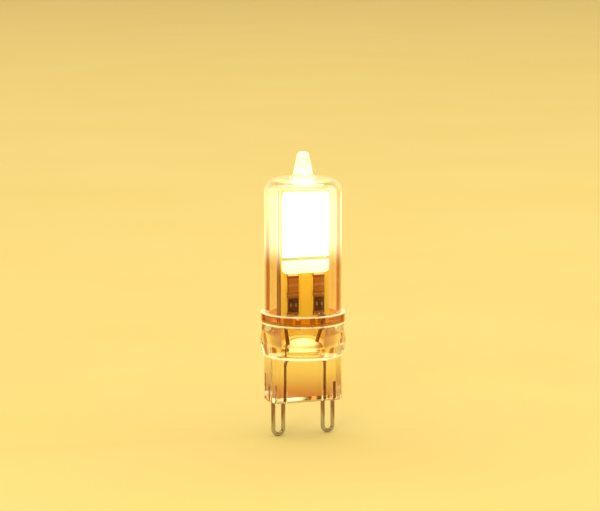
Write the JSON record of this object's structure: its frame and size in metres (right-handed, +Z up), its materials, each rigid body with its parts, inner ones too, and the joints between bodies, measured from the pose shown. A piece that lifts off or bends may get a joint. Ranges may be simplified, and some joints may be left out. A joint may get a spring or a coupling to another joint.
{
  "type": "led capsule bulb",
  "caption": "Capsule bulb: clear glass tube with a drawn tip over a lit LED board, on a clear moulded plug base with wire loop pins.",
  "frame": {"origin": "on the bulb's axis, at the underside of the plug's blade, where the loop pins come out", "axes": "+Z up the bulb towards the glass tip, +X across the two loop pins, -Y towards the front board"},
  "size_m": [0.0148, 0.0148, 0.0488],
  "materials": {
    "clear_glass": "clear blown glass, polished",
    "clear_polycarbonate": "clear moulded plastic, glossy",
    "clear_silicone": "clear bedding silicone",
    "white_solder_mask": "white solder mask on an aluminium core",
    "thermal_pad": "matt filled silicone",
    "white_dam": "satin white silicone",
    "lit_phosphor": "phosphor-filled silicone, glowing",
    "led_die": "polished sapphire",
    "resistor_glaze": "black overglaze",
    "black_epoxy": "moulded black epoxy",
    "tin_plate": "satin tin plate",
    "solder": "bright solder",
    "nickel_wire": "drawn nickel-plated wire"
  },
  "bodies": {
    "root": {"glass_envelope": "clear_glass", "plug_base": "clear_polycarbonate", "sealing_ring": "clear_silicone", "right_loop_pin": "nickel_wire", "left_loop_pin": "nickel_wire", "front_board": "white_solder_mask", "back_board": "white_solder_mask", "thermal_pad": "thermal_pad", "front_dam": "white_dam", "back_dam": "white_dam", "front_phosphor": "lit_phosphor", "back_phosphor": "lit_phosphor", "front_led_chips": "led_die", "back_led_chips": "led_die", "resistor_lower_left": "resistor_glaze", "resistor_lower_right": "resistor_glaze", "resistor_upper_left": "resistor_glaze", "resistor_upper_right": "resistor_glaze", "resistor_end_caps": "tin_plate", "resistor_solder": "solder", "driver_chip": "black_epoxy", "driver_leads": "tin_plate", "bridge_rectifier": "black_epoxy", "rectifier_leads": "tin_plate", "board_links": "tin_plate", "solder_joints": "solder"}
  },
  "joints": []
}
